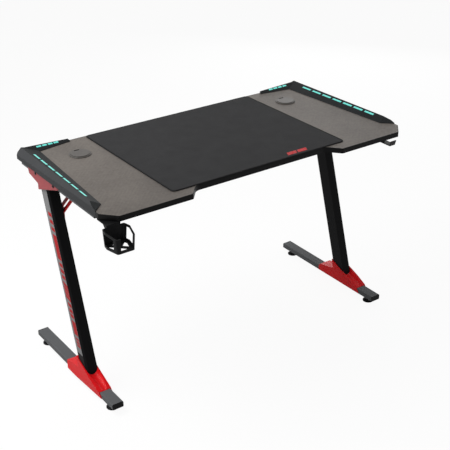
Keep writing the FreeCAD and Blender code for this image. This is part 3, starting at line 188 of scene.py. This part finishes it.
def carbonFilm(look):
    material, tree = emptyMaterial("carbonPvcFilm")
    coord = addNode(tree, "ShaderNodeTexCoord")
    cells = addNode(tree, "ShaderNodeVectorMath", {"operation": "SCALE", "Scale": 1 / (look["tow"] * mm)},
                    {0: coord.outputs["Object"]})
    split = addNode(tree, "ShaderNodeSeparateXYZ", None, {0: cells.outputs[0]})
    whole, ridges = [], []
    for axis in (0, 1):
        whole.append(addNode(tree, "ShaderNodeMath", {"operation": "FLOOR"}, {0: split.outputs[axis]}))
        part = addNode(tree, "ShaderNodeMath", {"operation": "FRACT"}, {0: split.outputs[axis]})
        turn = addNode(tree, "ShaderNodeMath", {"operation": "MULTIPLY", 1: math.pi}, {0: part.outputs[0]})
        ridges.append(addNode(tree, "ShaderNodeMath", {"operation": "SINE"}, {0: turn.outputs[0]}))
    steps = addNode(tree, "ShaderNodeMath", {"operation": "ADD"},
                    {0: whole[0].outputs[0], 1: whole[1].outputs[0]})
    phase = addNode(tree, "ShaderNodeMath", {"operation": "WRAP", 1: 2.0, 2: 0.0}, {0: steps.outputs[0]})
    warp = addNode(tree, "ShaderNodeMath", {"operation": "LESS_THAN", 1: 0.5}, {0: phase.outputs[0]})
    height = addNode(tree, "ShaderNodeMix", {"data_type": "FLOAT"},
                     {0: warp.outputs[0], 2: ridges[1].outputs[0], 3: ridges[0].outputs[0]})
    cell = addNode(tree, "ShaderNodeCombineXYZ", None, {0: whole[0].outputs[0], 1: whole[1].outputs[0]})
    chance = addNode(tree, "ShaderNodeTexWhiteNoise", {"noise_dimensions": "2D"}, {"Vector": cell.outputs[0]})
    cloud = addNode(tree, "ShaderNodeTexNoise", {"Scale": 1 / (look["cloud"] * mm), "Detail": cloudDetail},
                    {"Vector": coord.outputs["Object"]})
    uneven = addNode(tree, "ShaderNodeMath", {"operation": "MULTIPLY_ADD", 1: look["chance"]},
                     {0: chance.outputs[0], 2: cloud.outputs[0]})
    shade = addNode(tree, "ShaderNodeMath", {"operation": "MULTIPLY_ADD", 1: look["warp"]},
                    {0: warp.outputs[0], 2: uneven.outputs[0]})
    tone = addNode(tree, "ShaderNodeMapRange", {"From Min": look["spread"][0], "From Max": look["spread"][1]},
                   {"Value": shade.outputs[0]})
    weave = addNode(tree, "ShaderNodeMix",
                    {"data_type": "RGBA", 6: linear(look["dark"]), 7: linear(look["pale"])},
                    {0: tone.outputs[0]})
    facing = addNode(tree, "ShaderNodeSeparateXYZ", None, {0: coord.outputs["Normal"]})
    top = addNode(tree, "ShaderNodeMath", {"operation": "GREATER_THAN", 1: look["faceUp"]},
                  {0: facing.outputs[2]})
    colour = addNode(tree, "ShaderNodeMix", {"data_type": "RGBA", 6: linear(look["backing"])},
                     {0: top.outputs[0], 7: weave.outputs[2]})
    rough = addNode(tree, "ShaderNodeMapRange", {"To Min": look["rough"][0], "To Max": look["rough"][1]},
                    {"Value": warp.outputs[0]})
    bump = addNode(tree, "ShaderNodeBump", {"Distance": look["relief"] * mm}, {"Height": height.outputs[0]})
    shader = addNode(tree, "ShaderNodeBsdfPrincipled", {"Specular IOR Level": look["specular"]},
                     {"Base Color": colour.outputs[2], "Roughness": rough.outputs[0],
                      "Normal": bump.outputs[0]})
    addNode(tree, "ShaderNodeOutputMaterial", None, {"Surface": shader.outputs[0]})
    return material


# Knitted polyester face of a rubber-backed mat: dark grey, dull, with a fine even loop pattern.
# The loops are 0.5 mm apart, drawn coarser so that they show
# loopHeight and loopTone: how much the loops count in the relief and in the tone, sheen: weight, roughness
clothLook = dict(loop=2.6, dark="#2c2c2d", pale="#373738", relief=0.18, cloud=45, fuzzDetail=4.0,
                 loopHeight=0.5, loopTone=0.22, rough=0.88, specular=0.08, sheen=(0.04, 0.5))


def knitCloth(look):
    material, tree = emptyMaterial("knittedPolyester")
    place = addNode(tree, "ShaderNodeTexCoord").outputs["Object"]
    scaled = addNode(tree, "ShaderNodeVectorMath",
                     {"operation": "SCALE", "Scale": math.tau / (look["loop"] * mm)}, {0: place})
    split = addNode(tree, "ShaderNodeSeparateXYZ", None, {0: scaled.outputs[0]})
    waves = [addNode(tree, "ShaderNodeMath", {"operation": "SINE"}, {0: split.outputs[axis]})
             for axis in (0, 1)]
    loops = addNode(tree, "ShaderNodeMath", {"operation": "MULTIPLY"},
                    {0: waves[0].outputs[0], 1: waves[1].outputs[0]})
    fuzz = addNode(tree, "ShaderNodeTexNoise",
                   {"Scale": 1 / (look["loop"] * mm), "Detail": look["fuzzDetail"]}, {"Vector": place})
    cloud = addNode(tree, "ShaderNodeTexNoise",
                    {"Scale": 1 / (look["cloud"] * mm), "Detail": cloudDetail}, {"Vector": place})
    height = addNode(tree, "ShaderNodeMath", {"operation": "MULTIPLY_ADD", 1: look["loopHeight"]},
                     {0: loops.outputs[0], 2: fuzz.outputs[0]})
    shade = addNode(tree, "ShaderNodeMath", {"operation": "MULTIPLY_ADD", 1: look["loopTone"]},
                    {0: height.outputs[0], 2: cloud.outputs[0]})
    tone = addNode(tree, "ShaderNodeMix",
                   {"data_type": "RGBA", 6: linear(look["dark"]), 7: linear(look["pale"])},
                   {0: shade.outputs[0]})
    bump = addNode(tree, "ShaderNodeBump", {"Distance": look["relief"] * mm}, {"Height": height.outputs[0]})
    shader = addNode(tree, "ShaderNodeBsdfPrincipled",
                     {"Roughness": look["rough"], "Specular IOR Level": look["specular"],
                      "Sheen Weight": look["sheen"][0], "Sheen Roughness": look["sheen"][1]},
                     {"Base Color": tone.outputs[2], "Normal": bump.outputs[0]})
    addNode(tree, "ShaderNodeOutputMaterial", None, {"Surface": shader.outputs[0]})
    return material


# Milky acrylic lit from below by diodes 16.7 mm apart: even cyan with faint brighter spots
lightLook = dict(diode=16.7, body="#2a5f5a", glow="#5fcfc3", strength=(0.92, 1.12), rough=0.3, specular=0.4)


def litAcrylic(look, name, axis):  # axis: the one that the row of diodes follows
    material, tree = emptyMaterial(name)
    place = addNode(tree, "ShaderNodeTexCoord").outputs["Object"]
    split = addNode(tree, "ShaderNodeSeparateXYZ", None, {0: place})
    turn = addNode(tree, "ShaderNodeMath", {"operation": "MULTIPLY", 1: math.tau / (look["diode"] * mm)},
                   {0: split.outputs[axis]})
    spots = addNode(tree, "ShaderNodeMath", {"operation": "COSINE"}, {0: turn.outputs[0]})
    glow = addNode(tree, "ShaderNodeMapRange", {"From Min": -1.0, "To Min": look["strength"][0],
                                                "To Max": look["strength"][1]}, {"Value": spots.outputs[0]})
    shader = addNode(tree, "ShaderNodeBsdfPrincipled",
                     {"Base Color": linear(look["body"]), "Roughness": look["rough"],
                      "Specular IOR Level": look["specular"], "Emission Color": linear(look["glow"])},
                     {"Emission Strength": glow.outputs[0]})
    addNode(tree, "ShaderNodeOutputMaterial", None, {"Surface": shader.outputs[0]})
    return material


# ABS from a spark-eroded mould: matt charcoal outside, the inner slope round the lights is lacquered
# near black and a little glossier; grain drawn twice as coarse
# faceOut and faceUp: how far a face may look outward, and must look up, to count as that slope
trimLook = dict(outside=("#3d3e40", "#474849"), inside=("#1f2122", "#27292a"), rough=(0.50, 0.66),
                gloss=-0.10, grain=2.2, relief=0.10, cloud=90, faceOut=0.03, faceUp=0.3, specular=0.04)


def trimAbs(look):
    material, tree = emptyMaterial("texturedCharcoalAbs")
    coord = addNode(tree, "ShaderNodeTexCoord")
    place = addNode(tree, "ShaderNodeSeparateXYZ", None, {0: coord.outputs["Object"]})
    facing = addNode(tree, "ShaderNodeSeparateXYZ", None, {0: coord.outputs["Normal"]})
    side = addNode(tree, "ShaderNodeMath", {"operation": "SIGN"}, {0: place.outputs[0]})
    outward = addNode(tree, "ShaderNodeMath", {"operation": "MULTIPLY"},
                      {0: facing.outputs[0], 1: side.outputs[0]})
    turned = addNode(tree, "ShaderNodeMath", {"operation": "MAXIMUM"},
                     {0: outward.outputs[0], 1: facing.outputs[1]})
    slope = addNode(tree, "ShaderNodeMath", {"operation": "LESS_THAN", 1: look["faceOut"]},
                    {0: turned.outputs[0]})
    upward = addNode(tree, "ShaderNodeMath", {"operation": "GREATER_THAN", 1: look["faceUp"]},
                     {0: facing.outputs[2]})
    roof = addNode(tree, "ShaderNodeMath", {"operation": "MULTIPLY"},
                   {0: slope.outputs[0], 1: upward.outputs[0]})
    grain = addNode(tree, "ShaderNodeTexNoise", {"Scale": 1 / (look["grain"] * mm), "Detail": grainDetail},
                    {"Vector": coord.outputs["Object"]})
    cloud = addNode(tree, "ShaderNodeTexNoise", {"Scale": 1 / (look["cloud"] * mm), "Detail": cloudDetail},
                    {"Vector": coord.outputs["Object"]})
    tones = [addNode(tree, "ShaderNodeMix", {"data_type": "RGBA", 6: linear(dark), 7: linear(pale)},
                     {0: cloud.outputs[0]}) for dark, pale in (look["outside"], look["inside"])]
    tone = addNode(tree, "ShaderNodeMix", {"data_type": "RGBA"},
                   {0: roof.outputs[0], 6: tones[0].outputs[2], 7: tones[1].outputs[2]})
    matt = addNode(tree, "ShaderNodeMapRange", {"To Min": look["rough"][0], "To Max": look["rough"][1]},
                   {"Value": grain.outputs[0]})
    rough = addNode(tree, "ShaderNodeMath", {"operation": "MULTIPLY_ADD", 1: look["gloss"]},
                    {0: roof.outputs[0], 2: matt.outputs[0]})
    bump = addNode(tree, "ShaderNodeBump", {"Distance": look["relief"] * mm}, {"Height": grain.outputs[0]})
    shader = addNode(tree, "ShaderNodeBsdfPrincipled", {"Specular IOR Level": look["specular"]},
                     {"Base Color": tone.outputs[2], "Roughness": rough.outputs[0],
                      "Normal": bump.outputs[0]})
    addNode(tree, "ShaderNodeOutputMaterial", None, {"Surface": shader.outputs[0]})
    return material


surfaces = {slot: grainedSurface(finish) for slot, finish in finishes.items()}
surfaces["trim_abs"] = trimAbs(trimLook)
surfaces["carbon_laminate"] = carbonFilm(filmLook)
surfaces["mat_cloth"] = knitCloth(clothLook)
sideLight = litAcrylic(lightLook, "litAcrylicSide", 1)
rearLight = litAcrylic(lightLook, "litAcrylicRear", 0)

for part in frame["record"]["subparts"]:
    name, slot = part["node"], part["material_slot"]
    if slot == "diffuser_acrylic":
        surface = rearLight if "_rear_" in name else sideLight
    # legs take the powder coat darkened to black as painted shade
    elif name.startswith("leg_"):
        # gussets take the red paled to rose as a painted reflection
        surface = surfaces["gusset" if "gusset" in name else "leg"]
    else:
        surface = surfaces[slot]
    mesh = nodes[name].data
    if not mesh.materials:
        mesh.materials.append(surface)
    for holder in nodes[name].material_slots:
        holder.material = surface
print("materials assigned,", len(surfaces) + 2)


def addPiece(name, data, surface):
    piece = bpy.data.objects.new(name, data)
    data.materials.append(surface)
    scene.collection.objects.link(piece)
    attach(piece, "desk")
    return piece


def closedPlate(build, ring, lift):  # thin closed plate over a ring of points, raised by a vector
    low = [build.verts.new(p) for p in ring]
    high = [build.verts.new(p + lift) for p in ring]
    build.faces.new(low[::-1])
    build.faces.new(high)
    count = len(ring)
    for i in range(count):
        j = (i + 1) % count
        build.faces.new([low[i], low[j], high[j], high[i]])


def finishMesh(build, name):
    bmesh.ops.recalc_face_normals(build, faces=build.faces)
    mesh = bpy.data.meshes.new(name)
    build.to_mesh(mesh)
    build.free()
    return mesh


# Desk mat: a rubber-backed cloth with rounded edges and an overlocked rim
# section and path: inset from the cut and height over the board, in mm
matCut = dict(corner=14.0, cornerSteps=10,
              section=((0.6, 0.1), (0.1, 0.6), (0.0, 1.5), (0.15, 2.4), (0.6, 2.85), (1.4, 3.0), (5.0, 3.0)))
rimStitch = dict(pitch=3.6, thread=0.42, roundSteps=1,
                 path=((4.2, 3.05), (0.5, 3.0), (-0.15, 1.5), (0.5, 3.0)))
matLow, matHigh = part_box("desk_mat")


def matOutline(inset):  # plan points at an inset from the cut, counter-clockwise
    radius = (matCut["corner"] - inset) * mm
    centres = [(matHigh.x, matHigh.y, 0), (matLow.x, matHigh.y, 90), (matLow.x, matLow.y, 180),
               (matHigh.x, matLow.y, 270)]
    points = []
    for x, y, start in centres:
        cx = x - math.copysign(matCut["corner"] * mm, x)
        cy = y - matCut["corner"] * mm if y == matHigh.y else y + matCut["corner"] * mm
        for step in range(matCut["cornerSteps"] + 1):
            turn = math.radians(start + 90 * step / matCut["cornerSteps"])
            points.append((cx + radius * math.cos(turn), cy + radius * math.sin(turn)))
    return points


build = bmesh.new()
rings = []
for inset, height in matCut["section"]:
    rings.append([build.verts.new((x, y, matLow.z + height * mm)) for x, y in matOutline(inset)])
for lower, upper in zip(rings, rings[1:]):
    for i in range(len(lower)):
        j = (i + 1) % len(lower)
        build.faces.new([lower[i], lower[j], upper[j], upper[i]])
build.faces.new(rings[0][::-1])
build.faces.new(rings[-1])
mat = addPiece("deskMatCloth", finishMesh(build, "deskMatCloth"), surfaces["mat_cloth"])
for face in mat.data.polygons:
    face.use_smooth = len(face.vertices) == 4  # the rounded edge, not the two large faces
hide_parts("desk_mat")


def alongOutline(inset, count):  # even points round the mat's outline
    points = matOutline(inset)
    lengths = [math.dist(points[i], points[(i + 1) % len(points)]) for i in range(len(points))]
    total = sum(lengths)
    spots, index, walked = [], 0, 0.0
    for i in range(count):
        target = total * i / count
        while walked + lengths[index] < target:
            walked += lengths[index]
            index += 1
        share = (target - walked) / lengths[index]
        a, b = points[index], points[(index + 1) % len(points)]
        spots.append((a[0] + (b[0] - a[0]) * share, a[1] + (b[1] - a[1]) * share))
    return spots


perimeter = 2 * ((matHigh - matLow).x + (matHigh - matLow).y)
turns = len(rimStitch["path"])  # points of one stitch
stitches = turns * int(perimeter / (rimStitch["pitch"] * mm))
tracks = [alongOutline(inset, stitches) for inset, height in rimStitch["path"]]
rim = bpy.data.curves.new("matRimStitches", "CURVE")
rim.dimensions = "3D"
rim.bevel_depth = rimStitch["thread"] * mm
rim.bevel_resolution = rimStitch["roundSteps"]
spline = rim.splines.new("POLY")
spline.points.add(stitches - 1)
spline.use_cyclic_u = True
for i in range(stitches):
    x, y = tracks[i % turns][i]
    spline.points[i].co = (x, y, matLow.z + rimStitch["path"][i % turns][1] * mm, 1.0)
stitching = addPiece("matRimStitches", rim, surfaces["thread"])

# Two plain slanted bars printed at the mat's front right, in mm
matPrint = dict(start=(112.0, -243.0), width=38.0, depth=19.0, slant=8.0, gap=5.0, count=2, lift=0.02,
                film=0.06)
build = bmesh.new()
z = matHigh.z + matPrint["lift"] * mm
for i in range(matPrint["count"]):
    x0 = matPrint["start"][0] + i * (matPrint["width"] + matPrint["gap"])
    x1 = x0 + matPrint["width"]
    y0 = matPrint["start"][1]
    y1 = y0 + matPrint["depth"]
    ring = [(x0, y0), (x1, y0), (x1 + matPrint["slant"], y1), (x0 + matPrint["slant"], y1)]
    closedPlate(build, [Vector((x * mm, y * mm, z)) for x, y in ring], Vector((0, 0, matPrint["film"] * mm)))
addPiece("matPrint", finishMesh(build, "matPrint"), surfaces["print"])
print("mat made,", stitches, "stitch points")

# Prints on the outer face of each leg: squares, bars and a block of slanted bars in red, over a grey band of
# painted light that stands for the lit face
# heights in mm from the floor; band: low, high and half width, block: low, high, count of bars and gap
legPrint = dict(foot=(-61.0, 38.0), lean=17.0, face=589.0, gap=0.03, film=0.05, shift=-5.0,
                band=(122.0, 668.0, 19.0), square=13.0, halfSquare=12.0, largeSquares=9, smallShare=0.6,
                squares=(586, 562, 538, 421, 401, 381, 289, 269, 252, 173, 161, 150),
                halfBar=13.0, bars=((439, 520), (187, 235)),
                halfBlock=15.0, blockSlant=8.0, block=(306, 362, 4, 2.0))


def legPoint(side, depth, height, lift):  # a point over the outer face, from the leg's middle line
    y = legPrint["foot"][0] + (height - legPrint["foot"][1]) * math.tan(math.radians(legPrint["lean"]))
    return Vector((side * (legPrint["face"] + lift), y + depth, height)) * mm


for side, name in ((-1, "Left"), (1, "Right")):
    film = Vector((side * legPrint["film"] * mm, 0, 0))
    marks = []
    for i, z in enumerate(legPrint["squares"]):
        size = legPrint["square"] * (1.0 if i < legPrint["largeSquares"] else legPrint["smallShare"])
        marks.append((z - size / 2, z + size / 2, legPrint["halfSquare"], 0.0))
    for z0, z1 in legPrint["bars"]:
        marks.append((z0, z1, legPrint["halfBar"], 0.0))
    z0, z1, count, gap = legPrint["block"]
    pitch = (z1 - z0 + gap) / count
    for i in range(count):
        low = z0 + i * pitch
        marks.append((low, z0 + (i + 1) * pitch - gap, legPrint["halfBlock"], legPrint["blockSlant"]))
    # the band layer is painted light: grey that makes the outer face look lit
    layers = {"legPaintedLightBand": ([legPrint["band"] + (0.0,)], 0.0, legPrint["gap"], "band"),
              "legPrint": (marks, legPrint["shift"], legPrint["gap"] * 2 + legPrint["film"], "print")}
    for layer, (shapes, shift, lift, ink) in layers.items():
        build = bmesh.new()
        for low, high, half, slant in shapes:
            ring = [legPoint(side, shift + depth, height, lift) for depth, height in
                    ((-half, low - slant / 2), (half, low + slant / 2), (half, high + slant / 2),
                     (-half, high - slant / 2))]
            closedPlate(build, ring, film)
        addPiece(layer + name, finishMesh(build, layer + name), surfaces[ink])
print("leg prints made")

# Studio: pale floor, a soft light above the rear left, a low one at the front left, one behind at the
# right and a weak one above the right end. The floor lies floorDrop mm under the feet
studio = dict(sky="#ffffff", ambient=0.25, floor="#595959", floorLift=0.93, floorDrop=0.4, size=60.0,
              key=dict(place=(-1.2, 0.55, 1.85), width=1.1, power=22.5),
              low=dict(place=(-2.2, -0.8, 0.5), width=0.9, power=8.0),
              back=dict(place=(2.6, 2.4, 1.2), width=1.6, power=14.0),
              right=dict(place=(0.75, 0.15, 1.75), width=0.7, power=3.0),
              aim=(0.0, 0.0, 0.6))
world = bpy.data.worlds.new("studio")
world.use_nodes = True
scene.world = world
floorMaterial, floorTree = emptyMaterial("paleFloor")


def seenDirectly(tree):  # 1 for what the camera, a reflection or glass shows
    path = addNode(tree, "ShaderNodeLightPath")
    first = addNode(tree, "ShaderNodeMath", {"operation": "MAXIMUM"},
                    {0: path.outputs["Is Camera Ray"], 1: path.outputs["Is Glossy Ray"]})
    return addNode(tree, "ShaderNodeMath", {"operation": "MAXIMUM"},
                   {0: first.outputs[0], 1: path.outputs["Is Transmission Ray"]}).outputs[0]


skyTree = world.node_tree
skyTree.nodes.clear()
level = addNode(skyTree, "ShaderNodeMapRange", {"To Min": studio["ambient"], "To Max": 1.0},
                {"Value": seenDirectly(skyTree)})
sky = addNode(skyTree, "ShaderNodeBackground", {"Color": linear(studio["sky"])},
              {"Strength": level.outputs[0]})
addNode(skyTree, "ShaderNodeOutputWorld", None, {"Surface": sky.outputs[0]})

base = addNode(floorTree, "ShaderNodeBsdfDiffuse", {"Color": linear(studio["floor"])})
lift = addNode(floorTree, "ShaderNodeMath", {"operation": "MULTIPLY", 1: studio["floorLift"]},
               {0: seenDirectly(floorTree)})
shine = addNode(floorTree, "ShaderNodeEmission", None, {"Strength": lift.outputs[0]})
both = addNode(floorTree, "ShaderNodeAddShader", None, {0: base.outputs[0], 1: shine.outputs[0]})
addNode(floorTree, "ShaderNodeOutputMaterial", None, {"Surface": both.outputs[0]})
half = studio["size"] / 2
floorCorners = [(x * half, y * half, -studio["floorDrop"] * mm)
                for x, y in ((-1, -1), (1, -1), (1, 1), (-1, 1))]
floorMesh = bpy.data.meshes.new("floor")
floorMesh.from_pydata(floorCorners, [], [(0, 1, 2, 3)])
floorMesh.materials.append(floorMaterial)
floor = bpy.data.objects.new("floor", floorMesh)
scene.collection.objects.link(floor)

for name in ("key", "low", "back", "right"):
    lamp = bpy.data.lights.new(name + "Light", "AREA")
    lamp.size = studio[name]["width"]
    lamp.energy = studio[name]["power"]
    holder = bpy.data.objects.new(name + "Light", lamp)
    holder.location = studio[name]["place"]
    holder.rotation_euler = (Vector(studio["aim"]) - holder.location).to_track_quat("-Z", "Y").to_euler()
    scene.collection.objects.link(holder)

# Camera where the photograph was taken from, a little closer in
viewpoint = dict(azimuth=-35.747, elevation=27.195, distance=3.3441, target=(-0.02065, -0.07319, 0.450),
                 lens=77.4)
azimuth, elevation = math.radians(viewpoint["azimuth"]), math.radians(viewpoint["elevation"])
back = Vector((math.sin(azimuth) * math.cos(elevation), -math.cos(azimuth) * math.cos(elevation),
               math.sin(elevation)))
lens = bpy.data.cameras.new("camera")
lens.lens = viewpoint["lens"]
camera = bpy.data.objects.new("camera", lens)
camera.location = Vector(viewpoint["target"]) + back * viewpoint["distance"]
camera.rotation_euler = (-back).to_track_quat("-Z", "Y").to_euler()
scene.collection.objects.link(camera)
scene.camera = camera
scene.view_settings.view_transform = "Standard"
print("studio set")
